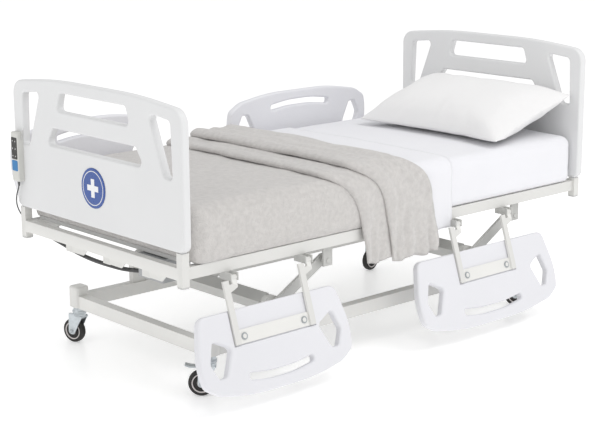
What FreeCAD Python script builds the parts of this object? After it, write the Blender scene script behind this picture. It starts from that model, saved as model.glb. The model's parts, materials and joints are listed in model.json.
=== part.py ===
import FreeCAD, Part
import math
import os
import re

from FreeCAD import Placement, Rotation, Vector

# An adjustable hospital bed. +X runs from the foot end to the head end, +Y from the patient's left side
# (the near side) to the right side (the far side), +Z up. It is drawn about its own middle plane and then
# moved sideways, so that the origin stands on the floor under the middle of its box.
# The side rails on the near side hang lowered, and those on the far side stand raised.

doc = FreeCAD.newDocument("HospitalBed")
sheet = doc.addObject("Spreadsheet::Sheet", "Sizes")

# Driving dimensions in millimetres and degrees.
SIZES = [
    ("bed_length", 2100, "over the two end boards"),
    ("end_shift", 13.75, "middle of the boards to the middle of the whole box"),
    ("side_shift", 43.75, "middle plane of the bed to the middle of the whole box"),
    ("board_width", 1020, "end board, side to side"),
    ("board_thick", 34, "end board"),
    ("foot_board_low", 556, "bottom edge of the footboard"),
    ("foot_board_high", 1030, "shoulder of the footboard"),
    ("head_board_low", 516, "bottom edge of the headboard"),
    ("head_board_rise", 24, "headboard shoulder above the footboard shoulder"),
    ("board_crown", 26, "middle of the top edge above the shoulders"),
    ("frame_top", 503, "top of the upper frame"),
    ("frame_deep", 42, "upper frame tube, height"),
    ("frame_tube", 30, "upper frame tube, width"),
    ("frame_side", 485, "outer face of the side tubes"),
    ("tube_wall", 2, "wall of every welded tube"),
    ("post_size", 30, "corner post, square"),
    ("post_top", 555, "top of the corner posts"),
    ("post_low", 440, "bottom of the corner posts"),
    ("peg_size", 22, "end board peg, square"),
    ("peg_long", 58, "end board peg, length"),
    ("deck_top", 520, "top of the deck"),
    ("deck_thick", 14, "moulded deck section, its hinges in the middle of its thickness"),
    ("deck_half", 440, "half width of the deck"),
    ("deck_gap", 8, "hinge line to the edge of a deck section"),
    ("hinge_side", 300, "deck hinges from the middle plane"),
    ("knuckle_long", 20, "deck hinge knuckle"),
    ("hinge_pin", 4, "deck hinge pin, radius"),
    ("back_hinge", 200, "backrest hinge, along the bed"),
    ("thigh_hinge", -100, "thigh hinge, along the bed"),
    ("knee_hinge", -420, "knee hinge, along the bed"),
    ("deck_end", 1000, "end of the deck, along the bed"),
    ("mattress_half", 486, "half width of the mattress"),
    ("mattress_low", 522, "underside of the mattress"),
    ("mattress_high", 698, "top of the mattress"),
    ("mattress_end", 1010, "head end of the mattress, along the bed"),
    ("mattress_foot", 998, "foot end of the mattress, which swings towards the footboard"),
    ("arm_long", 260, "lift arm, pivot to pivot"),
    ("arm_slope", 30, "lift arm above the horizontal, degrees"),
    ("arm_deep", 40, "lift arm, height"),
    ("arm_thick", 12, "lift arm, thickness"),
    ("arm_side", 430, "middle plane of a lift arm"),
    ("foot_pivot", -590, "foot torque tube, along the bed"),
    ("head_pivot", 450, "head torque tube, along the bed"),
    ("pivot_high", 275, "torque tubes above the floor"),
    ("torque_tube", 50, "torque tube, square"),
    ("journal", 18, "torque tube journal, radius"),
    ("pin_gap", 0.1, "radial gap of a journal or pin"),
    ("base_top", 195, "top of the base frame"),
    ("base_deep", 50, "base tube, height"),
    ("base_tube", 40, "base tube, width"),
    ("base_side", 400, "middle plane of a base side tube"),
    ("foot_caster", -868, "foot casters, along the bed"),
    ("head_caster", 730, "head casters, along the bed"),
    ("caster_post", 30, "caster housing, half width"),
    ("housing_top", 230, "top of the caster housings"),
    ("housing_low", 148, "bottom of the caster housings"),
    ("stem_radius", 8, "caster stem"),
    ("wheel_radius", 47, "caster wheel"),
    ("wheel_wide", 28, "caster wheel"),
    ("wheel_trail", 28, "swivel axis to wheel axle"),
    ("rail_pivot_side", 512, "side rail pivot from the middle plane"),
    ("rail_pivot_high", 445, "side rail pivot above the floor"),
    ("rail_swing", 162, "side rail, raised to lowered, degrees"),
    ("rail_low", 108, "rail panel bottom edge above its pivot"),
    ("rail_shoulder", 348, "rail panel shoulder above its pivot"),
    ("rail_crown", 404, "rail panel crown above its pivot"),
    ("rail_thick", 32, "rail panel"),
    ("rail_recess", 6, "seat for the arms in the rail panel"),
    ("rail_arm_wide", 24, "rail arm"),
    ("rail_arm_thick", 10, "rail arm"),
    ("rail_offset", 36, "rail arm to the bracket that it turns in, along the bed"),
    ("rail_plate_low", 178, "bottom of the cross plate above the pivot"),
    ("rail_plate_high", 226, "top of the cross plate above the pivot"),
    ("foot_rail_mid", -716, "middle of the foot rail, along the bed"),
    ("foot_rail_half", 345, "half length of the foot rail"),
    ("foot_rail_arm", 169, "rail middle to its arms"),
    ("head_rail_mid", 385, "middle of the head rail, along the bed"),
    ("head_rail_half", 402, "half length of the head rail"),
    ("head_rail_arm", 150, "rail middle to its arms"),
    ("pendant_wide", 44, "hand control"),
    ("pendant_thick", 26, "hand control"),
    ("pendant_long", 186, "hand control"),
    ("pendant_top", 842, "hand control, top"),
    ("pendant_side", 474, "hand control from the middle plane"),
    ("cord_radius", 2.5, "hand control cord"),
    ("coil_radius", 8, "outside of the curly cord"),
]
NAMES = {name for name, _, _ in SIZES}
for row, (name, value, meaning) in enumerate(SIZES, start=1):
    sheet.set(f"A{row}", name)
    sheet.set(f"B{row}", str(value))
    sheet.set(f"C{row}", meaning)
    sheet.setAlias(f"B{row}", name)
doc.recompute()
S = {name: float(sheet.get(name)) for name in NAMES}

kept = []
X_AXIS = Vector(1, 0, 0)
Y_AXIS = Vector(0, 1, 0)
Z_AXIS = Vector(0, 0, 1)


# ---- helpers -------------------------------------------------------------------------------------------

def formula(text):
    """Turns a sum written with the sheet's names into an expression on its cells."""
    return re.sub(r"[a-z]+(?:_[a-z]+)*", lambda m: "Sizes." + m[0] if m[0] in NAMES else m[0], text)


def bind(obj, prop, text):
    obj.setExpression(prop, formula(text))


def put(obj, x, y, z):
    for axis, text in zip("xyz", (x, y, z)):
        bind(obj, f"Placement.Base.{axis}", text)


def keep(obj, label):
    """Names a finished sub-part and moves it to the bed's own frame."""
    obj.Label = label
    kept.append(obj)
    return obj


def block(x, y, z, name="Block"):
    """A box between two formulas along each axis."""
    box = doc.addObject("Part::Box", name)
    for prop, (low, high) in zip(("Length", "Width", "Height"), (x, y, z)):
        bind(box, prop, f"({high}) - ({low})")
    put(box, x[0], y[0], z[0])
    return box


def rod(radius, length, base, axis, name="Rod"):
    """A cylinder from base, a triple of formulas, along axis."""
    bar = doc.addObject("Part::Cylinder", name)
    bind(bar, "Radius", radius)
    bind(bar, "Height", length)
    bar.Placement = Placement(Vector(), Rotation(Z_AXIS, axis))
    put(bar, *base)
    return bar


def cut(base, *tools):
    for tool in tools:
        made = doc.addObject("Part::Cut", "Cut")
        made.Base, made.Tool = base, tool
        base = made
    return base


def fuse(*shapes):
    made = doc.addObject("Part::MultiFuse", "Fuse")
    made.Shapes = list(shapes)
    return made


def sided(side, low, high):
    """Two formulas measured outward from the middle plane, in order along Y, for the near or far side."""
    return (low, high) if side == "far" else (f"-({high})", f"-({low})")


def tube_x(x, y, z):
    """A square tube along X, open at its ends."""
    inner_y = (f"({y[0]}) + tube_wall", f"({y[1]}) - tube_wall")
    inner_z = (f"({z[0]}) + tube_wall", f"({z[1]}) - tube_wall")
    return cut(block(x, y, z), block(x, inner_y, inner_z))


def tube_y(x, y, z):
    """A square tube along Y, open at its ends."""
    inner_x = (f"({x[0]}) + tube_wall", f"({x[1]}) - tube_wall")
    inner_z = (f"({z[0]}) + tube_wall", f"({z[1]}) - tube_wall")
    return cut(block(x, y, z), block(inner_x, y, inner_z))


def rounded(obj, radius, wanted):
    """Rounds the edges of a shape for which wanted(edge) is true."""
    doc.recompute()
    made = doc.addObject("Part::Fillet", "Rounded")
    made.Base = obj
    made.Edges = [(i + 1, radius, radius) for i, edge in enumerate(obj.Shape.Edges) if wanted(edge)]
    return made


def upright(edge):
    along = edge.Vertexes[-1].Point - edge.Vertexes[0].Point
    return abs(along.z) > 0.99 * along.Length > 0


def corner_loop(points):
    """A closed outline of straight lines with a tangent arc of its own radius at each corner."""
    count = len(points)
    joins = []
    for i, (u, v, radius) in enumerate(points):
        here = Vector(u, v, 0)
        back = Vector(points[i - 1][0], points[i - 1][1], 0) - here
        ahead = Vector(points[(i + 1) % count][0], points[(i + 1) % count][1], 0) - here
        back.normalize()
        ahead.normalize()
        half = back.getAngle(ahead) / 2
        reach = radius / math.tan(half)
        bisector = back + ahead
        bisector.normalize()
        middle = here + bisector * (radius / math.sin(half) - radius)
        joins.append((here + back * reach, middle, here + ahead * reach))
    edges = []
    for i, (start, middle, end) in enumerate(joins):
        edges.append(Part.LineSegment(joins[i - 1][2], start))
        edges.append(Part.Arc(start, middle, end))
    return edges


def plate(name, role, loops, thickness, origin, edge_radius):
    """A moulded plate: the first loop is its outline and the others are openings, its edges rounded."""
    body = doc.addObject("PartDesign::Body", name)
    doc.recompute()
    plane = next(f for f in body.Origin.OriginFeatures if f.Role == role)
    sketch = body.newObject("Sketcher::SketchObject", name + "_outline")
    sketch.AttachmentSupport = (plane, [""])
    sketch.MapMode = "FlatFace"
    for loop in loops:
        sketch.addGeometry(corner_loop(loop), False)
    pad = body.newObject("PartDesign::Pad", name + "_pad")
    pad.Profile = sketch
    bind(pad, "Length", thickness)
    pad.Midplane = True
    doc.recompute()
    if edge_radius:
        fillet = body.newObject("PartDesign::Fillet", name + "_edges")
        faces = [f"Face{i + 1}" for i, face in enumerate(pad.Shape.Faces)
                 if face.Surface.TypeId == "Part::GeomPlane" and face.Area > 0.2 * max(
                     other.Area for other in pad.Shape.Faces)]
        fillet.Base = (pad, faces)
        fillet.Radius = edge_radius
    put(body, *origin)
    return body


# ---- base frame ----------------------------------------------------------------------------------------

BASE_Z = ("base_top - base_deep", "base_top")
for side in ("near", "far"):
    span = ("foot_caster + caster_post", "head_caster - caster_post")
    across = sided(side, "base_side - base_tube / 2", "base_side + base_tube / 2")
    keep(tube_x(span, across, BASE_Z), f"base_rail_{side}")

for end in ("foot", "head"):
    middle = f"{end}_caster"
    weldment = [tube_y((f"{middle} - base_tube / 2", f"{middle} + base_tube / 2"),
                       ("-base_side + caster_post - 4", "base_side - caster_post + 4"), BASE_Z)]
    for side in ("near", "far"):
        square = block((f"{middle} - caster_post", f"{middle} + caster_post"),
                       sided(side, "base_side - caster_post", "base_side + caster_post"),
                       ("housing_low", "housing_top"))
        housing = rounded(square, 14, upright)
        capped = rounded(housing, 9, lambda edge: edge.CenterOfMass.z > S["housing_top"] - 0.1)
        center = (middle, sided(side, "base_side", "base_side")[0], "housing_low")
        weldment.append(cut(capped, rod("stem_radius + pin_gap", "34", center, Z_AXIS)))
    keep(fuse(*weldment), f"base_end_{end}")

bearings = []
for end in ("foot", "head"):
    for side in ("near", "far"):
        across = sided(side, "base_side - 13", "base_side + 13")
        blank = block((f"{end}_pivot - 32", f"{end}_pivot + 32"), across, ("base_top", "pivot_high + 30"))
        bore = rod("journal + pin_gap", "40", (f"{end}_pivot", f"({across[0]}) - 5", "pivot_high"), Y_AXIS)
        shoulders = rounded(blank, 22, lambda edge: edge.CenterOfMass.z > S["pivot_high"] + 29
                            and abs(edge.CenterOfMass.y) - S["base_side"] < 1
                            and abs(edge.CenterOfMass.y) - S["base_side"] > -1)
        bearings.append(cut(shoulders, bore))
lift_bearings = doc.addObject("Part::Compound", "Bearings")
lift_bearings.Links = bearings
keep(lift_bearings, "lift_bearings")


# ---- casters: each is drawn with its swivel axis on the origin and its wheel trailing along +X ---------

CASTERS = {"near_foot": 138, "far_foot": 108, "near_head": -42, "far_head": 188}
PEDAL_PIN = ("30", "-20", "105")


def at_caster(obj, corner, label):
    side, end = corner.split("_")
    obj.Placement = Placement(Vector(), Rotation(Z_AXIS, CASTERS[corner]))
    put(obj, f"{end}_caster", sided(side, "base_side", "base_side")[0], "0")
    return keep(obj, label)


for corner in CASTERS:
    leg_outline = [(-22, 106, 1.5), (-22, 111, 1.5), (20, 120, 5), (38, 120, 6), (41, 35, 12), (15, 35, 12)]
    legs = [plate("Leg", "XZ_Plane", [leg_outline], "4", ("0", y, "0"), 0) for y in ("-19", "19")]
    crown = block(("-24", "19"), ("-21", "21"), ("104", "110"))
    swivel = rod("24", "housing_low - 112", ("0", "0", "110"), Z_AXIS)
    stem = rod("stem_radius", "32", ("0", "0", "housing_low - 2"), Z_AXIS)
    axle = rod("5", "46", ("wheel_trail", "-23", "wheel_radius"), Y_AXIS)
    parts = [crown, swivel, stem, axle] + legs
    if corner.startswith("near"):
        parts.append(rod("3", "40", PEDAL_PIN, Y_AXIS))
    at_caster(fuse(*parts), corner, f"caster_fork_{corner}")

    wheel_start = ("wheel_trail", "-wheel_wide / 2", "wheel_radius")
    band = cut(rod("wheel_radius", "wheel_wide", wheel_start, Y_AXIS),
               rod("wheel_radius - 13", "wheel_wide", wheel_start, Y_AXIS))
    tyre = rounded(band, 8, lambda edge: edge.Length > 6 * S["wheel_radius"])
    hub_start = ("wheel_trail", "-wheel_wide / 2 + 2", "wheel_radius")
    hub = cut(rod("wheel_radius - 13", "wheel_wide - 4", hub_start, Y_AXIS),
              rod("5 + pin_gap", "wheel_wide - 4", hub_start, Y_AXIS))
    wheel = doc.addObject("Part::Compound", "Wheel")
    wheel.Links = [tyre, hub]
    at_caster(wheel, corner, f"caster_wheel_{corner}")

    if corner.startswith("near"):
        barrel = rod("5.5", "32", ("30", "-16", PEDAL_PIN[2]), Y_AXIS)
        tread = plate("Tread", "XZ_Plane", [[(28, 104, 1), (28, 109, 1), (66, 110, 30), (84, 116, 1.5),
                                            (86, 112, 1.5), (68, 105, 30)]], "32", ("0", "0", "0"), 0)
        pedal = cut(fuse(barrel, tread), rod("3 + pin_gap", "40", PEDAL_PIN, Y_AXIS))
        at_caster(pedal, corner, f"brake_pedal_{corner}")


# ---- lift arms: drawn level from the torque tube's axis, then sloped -----------------------------------

def bar_outline(length, deep):
    end = deep / 2
    return [(-end, -end, end - 0.5), (length + end, -end, end - 0.5), (length + end, end, end - 0.5),
            (-end, end, end - 0.5)]


for end in ("foot", "head"):
    tube = block(("-torque_tube / 2", "torque_tube / 2"), ("-base_side + 17", "base_side - 17"),
                 ("-torque_tube / 2", "torque_tube / 2"))
    shaft = rod("journal", "2 * arm_side - 4", ("0", "-arm_side + 2", "0"), Y_AXIS)
    parts = [tube, shaft]
    for side, sign in (("near", "-"), ("far", "")):
        parts.append(plate("Arm", "XZ_Plane", [bar_outline(S["arm_long"], S["arm_deep"])], "arm_thick",
                           ("0", f"{sign}arm_side", "0"), 0))
        across = sided(side, "arm_side", "arm_side + 36")
        parts.append(rod("8", "36", ("arm_long", across[0], "0"), Y_AXIS))
    if end == "foot":
        lever = plate("Lever", "XZ_Plane", [bar_outline(212, 34)], "12", ("0", "0", "0"), 0)
        lever.Placement = Placement(Vector(), Rotation(Y_AXIS, 15))
        parts.append(lever)
    arm = fuse(*parts)
    arm.Placement = Placement(Vector(), Rotation(Y_AXIS, -S["arm_slope"]))
    put(arm, f"{end}_pivot", "0", "pivot_high")
    keep(arm, f"lift_arm_{end}")


# ---- upper frame ---------------------------------------------------------------------------------------

FRAME_Z = ("frame_top - frame_deep", "frame_top")
POST_INNER = "bed_length / 2 - board_thick / 2 - post_size / 2"
for side in ("near", "far"):
    keep(tube_x((f"-({POST_INNER})", POST_INNER), sided(side, "frame_side - frame_tube", "frame_side"),
                FRAME_Z), f"frame_rail_{side}")

CABLE_HOOKS = (242, 6, -228)
for end in ("foot", "head"):
    sign = {"foot": "-", "head": ""}[end]
    middle = f"{sign}(bed_length / 2 - board_thick / 2)"
    span = (f"{middle} - post_size / 2", f"{middle} + post_size / 2")
    weldment = [tube_y(span, ("-frame_side + frame_tube - 10", "frame_side - frame_tube + 10"), FRAME_Z)]
    for side in ("near", "far"):
        outer = sided(side, "frame_side - frame_tube + 10", "frame_side - frame_tube + 10 + post_size")
        bore_y = (f"({outer[0]}) + tube_wall", f"({outer[1]}) - tube_wall")
        bore_x = (f"({span[0]}) + tube_wall", f"({span[1]}) - tube_wall")
        top = "post_top" if end == "foot" else "head_board_low - 1"
        weldment.append(cut(block(span, outer, ("post_low", top)), block(bore_x, bore_y, ("post_low", top))))
    if end == "foot":
        for y in CABLE_HOOKS:
            weldment.append(block(("-1018", "-1014"), (f"{y} - 44", str(y)), ("424", "470")))
            flange = [(y - 165, 470, 3), (y - 118, 428, 3), (y - 50, 428, 3), (y - 40, 470, 3)]
            weldment.append(plate("Hook", "YZ_Plane", [flange], "4", ("-1020", "0", "0"), 0))
    keep(fuse(*weldment), f"frame_end_{end}")

LEVER_Z = 398
ACTUATORS = {"back": (-260, 110, LEVER_Z), "lift": (60, 0, 330), "knee": (420, -110, LEVER_Z + 2)}
tubes = []
for name, (x, y, z) in ACTUATORS.items():
    across = ("-frame_side + frame_tube", "frame_side - frame_tube")
    tube = tube_y((f"{x} - 15", f"{x} + 15"), across, FRAME_Z)
    ears = []
    for inner in (15, 19):
        shift = (y - inner, y - inner + 4) if inner == 19 else (y + inner, y + inner + 4)
        ears.append(block((f"{x} - 14", f"{x} + 14"), (str(shift[0]), str(shift[1])),
                          (str(z - 14), FRAME_Z[0])))
    pin = rod("5", "38", (str(x), str(y - 19), str(z)), Y_AXIS)
    tubes.append(fuse(tube, pin, *ears))
cross_tubes = doc.addObject("Part::Compound", "CrossTubes")
cross_tubes.Links = tubes
keep(cross_tubes, "frame_cross_tubes")

hangers = []
for end in ("foot", "head"):
    for side in ("near", "far"):
        x = f"{end}_pivot + arm_long * cos(arm_slope)"
        z = "pivot_high + arm_long * sin(arm_slope)"
        across = sided(side, "frame_side - frame_tube", "frame_side - frame_tube + 8")
        blank = block((f"{x} - 22", f"{x} + 22"), across, (f"{z} - 20", FRAME_Z[0]))
        hangers.append(cut(blank, rod("8 + pin_gap", "20", (x, f"({across[0]}) - 5", z), Y_AXIS)))
lift_hangers = doc.addObject("Part::Compound", "Hangers")
lift_hangers.Links = hangers
keep(lift_hangers, "lift_hangers")

RAILS = {"foot": ("foot_rail_mid", "foot_rail_arm"), "head": ("head_rail_mid", "head_rail_arm")}
brackets = []
for end, (middle, arm) in RAILS.items():
    for side in ("near", "far"):
        for way in ("-", "+"):
            x = f"{middle} {way} {arm} {'+' if side == 'near' else '-'} rail_offset"
            pad = block((f"{x} - 17", f"{x} + 17"), sided(side, "frame_side - 24", "frame_side"),
                        (f"{FRAME_Z[0]} - 4", FRAME_Z[0]))
            reach = sided(side, "frame_side - 24", "rail_pivot_side + 11")
            ears = [block((f"{x} {ear}", f"{x} {ear} + 4"), reach, ("rail_pivot_high - 11", FRAME_Z[0]))
                    for ear in ("- 17", "+ 13")]
            across = sided(side, "rail_pivot_side", "rail_pivot_side")[0]
            pin = rod("5", "34", (f"{x} - 17", across, "rail_pivot_high"), X_AXIS)
            brackets.append(fuse(pad, pin, *ears))
rail_brackets = doc.addObject("Part::Compound", "Brackets")
rail_brackets.Links = brackets
keep(rail_brackets, "rail_brackets")

control_box = block(("-1014", "-890"), ("-340", "-197.5"), ("418", "500"))
keep(rounded(control_box, 8, upright), "control_box")


# ---- deck and mattress ---------------------------------------------------------------------------------

DECK_Z = ("deck_top - deck_thick", "deck_top")
HINGE_Z = "deck_top - deck_thick / 2"
SECTIONS = {
    "back": ("back_hinge", "deck_end"),
    "seat": ("thigh_hinge", "back_hinge"),
    "thigh": ("knee_hinge", "thigh_hinge"),
    "calf": ("-deck_end", "knee_hinge"),
}
LEVERS = {"back": (215, 110, 1), "thigh": (-115, -110, -1)}
# Each deck hinge: its line, the section that holds the pin, and the section that turns on it.
DECK_HINGES = (
    ("back_hinge", "seat", "back"),
    ("thigh_hinge", "seat", "thigh"),
    ("knee_hinge", "thigh", "calf"),
)


def knuckle(line, way, low, high):
    """One knuckle, square on the side of its own deck section and round about the pin."""
    barrel = rod("deck_thick / 2", f"({high}) - ({low})", (line, low, HINGE_Z), Y_AXIS)
    edge_x = (line, f"{line} + deck_gap") if way > 0 else (f"{line} - deck_gap", line)
    return fuse(barrel, block(edge_x, (low, high), DECK_Z))


def hinged(pan, name):
    """Adds a section's knuckles and pins, and bores the knuckles that turn."""
    for line, holder, turner in DECK_HINGES:
        if name not in (holder, turner):
            continue
        way = 1 if SECTIONS[name][0] == line else -1
        for side in ("-", ""):
            center = f"{side}hinge_side"
            if name == turner:
                low, high = f"{center} - knuckle_long / 2", f"{center} + knuckle_long / 2"
                bore = rod("hinge_pin + pin_gap", "knuckle_long", (line, low, HINGE_Z), Y_AXIS)
                pan = cut(fuse(pan, knuckle(line, way, low, high)), bore)
                continue
            reach = "knuckle_long * 1.5"
            inner = "knuckle_long / 2 + 0.5"
            leaves = [knuckle(line, way, f"{center} - {reach}", f"{center} - ({inner})"),
                      knuckle(line, way, f"{center} + {inner}", f"{center} + {reach}")]
            pin = rod("hinge_pin", f"2 * {reach}", (line, f"{center} - {reach}", HINGE_Z), Y_AXIS)
            pan = fuse(pan, pin, *leaves)
    return pan


for name, (low, high) in SECTIONS.items():
    start = low if name == "calf" else f"{low} + deck_gap"
    finish = high if name == "back" else f"{high} - deck_gap"
    pan = block((start, finish), ("-deck_half", "deck_half"), DECK_Z)
    if name in LEVERS:
        x, y, way = LEVERS[name]
        outline = [(x - 12, LEVER_Z - 10, 10), (x + 12, LEVER_Z - 10, 10), (x + 12 + way * 34, 507, 3),
                   (x - 12 + way * 34, 507, 3)]
        lever = plate("Lever", "XZ_Plane", [outline], "16", ("0", str(y), "0"), 0)
        pan = fuse(pan, lever)
    keep(hinged(pan, name), f"{name}_deck")

MATTRESS = {
    # name: bottom start, bottom end, top start, top end along the bed
    "back": (210, "end", 422, "end"),
    "seat": (-92, 190, -46, 139),
    "thigh": (-417, -110, -417, -182),
    "calf": ("-end", -423, "-end", -423),
}
for name, stations in MATTRESS.items():
    low0, low1, high0, high1 = [
        {"end": S["mattress_end"], "-end": -S["mattress_foot"]}.get(v, v) for v in stations]
    outline = [(low0, S["mattress_low"], 8), (low1, S["mattress_low"], 8),
               (high1, S["mattress_high"], 8), (high0, S["mattress_high"], 8)]
    keep(plate("Foam", "XZ_Plane", [outline], "2 * mattress_half", ("0", "0", "0"), 0), f"mattress_{name}")

# The pillow leans on the headboard.
pillow = plate("Pillow", "XY_Plane", [[(-210, -385, 60), (210, -385, 60), (210, 385, 60), (-210, 385, 60)]],
               "80", ("772", "-85", "mattress_high + 102"), 0)
pillow.Placement.Rotation = Rotation(Y_AXIS, -17)
keep(pillow, "pillow")


# ---- end boards ----------------------------------------------------------------------------------------

def board_loops(low, rise):
    half = S["board_width"] / 2
    shoulder = S["foot_board_high"] + rise
    crown = shoulder + S["board_crown"]
    loops = [[(-half, low, 30), (half, low, 30), (half, shoulder, 56), (250, crown, 2400),
              (-250, crown, 2400), (-half, shoulder, 56)]]
    for top_half, top, low_half, bottom in ((200, 1012, 222, 946), (252, 880, 298, 816)):
        loops.append([(-top_half, top + rise, 15), (top_half, top + rise, 15), (low_half, bottom + rise, 16),
                      (-low_half, bottom + rise, 16)])
    for way in (-1, 1):
        loops.append([(way * 330, 1002 + rise, 16), (way * 446, 990 + rise, 18), (way * 454, 796 + rise, 12),
                      (way * 410, 800 + rise, 14)])
    return loops


for end, sign in (("foot", "-"), ("head", "")):
    middle = f"{sign}(bed_length / 2 - board_thick / 2)"
    low = S[f"{end}_board_low"]
    rise = 0 if end == "foot" else S["head_board_rise"]
    panel = plate("Board", "YZ_Plane", board_loops(low, rise), "board_thick", (middle, "0", "0"), 8)
    pegs = []
    for side in ("near", "far"):
        center = "frame_side - frame_tube + 10 + post_size / 2"
        across = sided(side, f"{center} - peg_size / 2", f"{center} + peg_size / 2")
        pegs.append(block((f"{middle} - peg_size / 2", f"{middle} + peg_size / 2"), across,
                          (f"{end}_board_low - peg_long", f"{end}_board_low + 4")))
    keep(fuse(panel, *pegs), f"{end}board")

badge = rod("72", "3", ("-bed_length / 2 - 3", "0", "700"), X_AXIS)
keep(rounded(badge, 1.2, lambda edge: edge.CenterOfMass.x < -S["bed_length"] / 2 - 2.5 and edge.Length > 100),
     "footboard_badge")


# ---- side rails: drawn raised on the far side, about their pivot line ----------------------------------

def rail_outline(half):
    low, shoulder, crown = S["rail_low"], S["rail_shoulder"], S["rail_crown"]
    return [(-half + 38, low, 34), (half - 38, low, 34), (half + 2, 270, 260), (half - 14, shoulder - 4, 34),
            (half - 70, shoulder + 30, 90), (half * 0.42, crown, 900), (-half * 0.42, crown, 900),
            (-half + 70, shoulder + 30, 90), (-half + 14, shoulder - 4, 34), (-half - 2, 270, 260)]


def rail_windows(half):
    windows = []
    for way in (-1, 1):
        outline = [(76, 193, 12), (148, 231, 16), (106, 320, 12), (76, 322, 10), (50, 268, 22)]
        windows.append([(way * (half - inset), high, radius) for inset, high, radius in outline])
    reach = half * 0.39 + 10
    slot = [(-reach, 326, 10), (-reach * 0.4, 339, 500), (reach * 0.4, 339, 500), (reach, 326, 10),
            (reach, 350, 10), (reach * 0.4, 364, 500), (-reach * 0.4, 364, 500), (-reach, 350, 10)]
    windows.append(slot)
    return windows


def hang_rail(obj, side, label):
    """Stands a far rail raised, and turns a near rail over to hang lowered."""
    if side == "near":
        flip = Rotation(X_AXIS, S["rail_swing"]).multiply(Rotation(Z_AXIS, 180))
        obj.Placement = Placement(Vector(), flip)
    put(obj, f"{label.split('_')[-1]}_rail_mid", sided(side, "rail_pivot_side", "rail_pivot_side")[0],
        "rail_pivot_high")
    return keep(obj, label)


for end, (middle, arm) in RAILS.items():
    half = S[f"{end}_rail_half"]
    for side in ("near", "far"):
        panel = plate("Panel", "XZ_Plane", [rail_outline(half)] + rail_windows(half), "rail_thick",
                      ("0", "0", "0"), 9)
        recess = block((f"-{arm} - 16", f"{arm} + 16"), ("-rail_thick", "-rail_thick / 2 + rail_recess"),
                       ("0", "rail_plate_high + 5"))
        seated = cut(panel, recess)
        shifted = doc.addObject("Part::Compound", "Seated")
        shifted.Links = [seated]
        bind(seated, "Placement.Base.y", "rail_thick / 2 + 2")
        hang_rail(shifted, side, f"rail_panel_{side}_{end}")

        weldment = [block((f"-{arm} - rail_arm_wide / 2", f"{arm} + rail_arm_wide / 2"),
                          ("rail_recess - 3", "rail_recess + 2"), ("rail_plate_low", "rail_plate_high"))]
        for way in ("-", "+"):
            x = f"{way}{arm}"
            edge_x = (f"{x} - rail_arm_wide / 2", f"{x} + rail_arm_wide / 2")
            strut = block(edge_x, ("-rail_arm_thick / 2", "rail_arm_thick / 2"), ("8", "rail_plate_high"))
            at = S[arm] if way == "+" else -S[arm]
            eye_at = at - S["rail_offset"]
            gusset = [(eye_at - 10, 0, 4), (eye_at + 10, 0, 4), (eye_at + 10, 22, 2), (at, 24, 2),
                      (at, 54, 4), (eye_at - 10, 36, 6)]
            web = plate("Gusset", "XZ_Plane", [gusset], "rail_arm_thick", ("0", "0", "0"), 0)
            eye_start = (f"{edge_x[0]} - rail_offset", "0", "0")
            eye = rod("9", "rail_arm_wide", eye_start, X_AXIS)
            bore = rod("5 + pin_gap", "rail_arm_wide", eye_start, X_AXIS)
            weldment.append(cut(fuse(strut, web, eye), bore))
            weldment.append(rod("8", "4", (f"{x} {'+' if way == '-' else '-'} 34", "rail_recess - 7",
                                           "(rail_plate_low + rail_plate_high) / 2"), Y_AXIS))
        hang_rail(fuse(*weldment), side, f"rail_arms_{side}_{end}")


# ---- actuators: each lies along the bed, its rod towards its lever -------------------------------------

# The way each one pushes, where its rod ends, and how far along it the rod starts.
STROKES = {"back": (1, 194, 140), "lift": (-1, -362, 200), "knee": (-1, -95, 140)}
for name, (x, y, z) in ACTUATORS.items():
    way, rod_end, rod_start = STROKES[name]
    axis = Vector(way, 0, 0)

    def along(distance):
        return str(x + way * distance)

    eye = cut(rod("11", "26", (str(x), str(y - 13), str(z)), Y_AXIS),
              rod("5 + pin_gap", "30", (str(x), str(y - 15), str(z)), Y_AXIS))
    neck = block((along(9), along(40)) if way > 0 else (along(40), along(9)), (str(y - 8), str(y + 8)),
                 (str(z - 8), str(z + 8)))
    case_x = (along(36), along(130)) if way > 0 else (along(130), along(36))
    case = rounded(block(case_x, (str(y - 30), str(y + 30)), (str(z - 34), str(z + 34))), 10,
                   lambda edge: abs(edge.Vertexes[0].Point.x - edge.Vertexes[-1].Point.x) > 50)
    sleeve = cut(rod("21", "140", (along(125), str(y), str(z)), axis),
                 rod("10 + pin_gap", "135", (along(136), str(y), str(z)), axis))
    keep(fuse(eye, neck, case, sleeve), f"{name}_actuator")
    stem = rod("10", str(abs(rod_end - x) - rod_start), (along(rod_start), str(y), str(z)), axis)
    keep(stem, f"{name}_actuator_rod")


# ---- hand control and its cord -------------------------------------------------------------------------

FACE = "-bed_length / 2 - pendant_thick"
shell = block((FACE, "-bed_length / 2"),
              ("pendant_side - pendant_wide / 2", "pendant_side + pendant_wide / 2"),
              ("pendant_top - pendant_long", "pendant_top"))
shell = rounded(shell, 5, lambda edge: edge.CenterOfMass.x < -S["bed_length"] / 2 - 1)
BUTTON_ROWS = {"back": -34, "knee": -62, "height": -90}
pockets = []
for name, drop in BUTTON_ROWS.items():
    for way, shift in (("up", -9), ("down", 9)):
        y = f"pendant_side + {shift}"
        z = f"pendant_top + {drop}"
        pocket_y = (f"{y} - 6.5", f"{y} + 6.5")
        pockets.append(block((FACE, f"{FACE} + 5"), pocket_y, (f"{z} - 8.5", f"{z} + 8.5")))
        key = block((f"{FACE} - 1.5", f"{FACE} + 3"), (f"{y} - 6", f"{y} + 6"), (f"{z} - 8", f"{z} + 8"))
        keep(key, f"button_{name}_{way}")
keep(cut(shell, *pockets), "pendant_shell")


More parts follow.
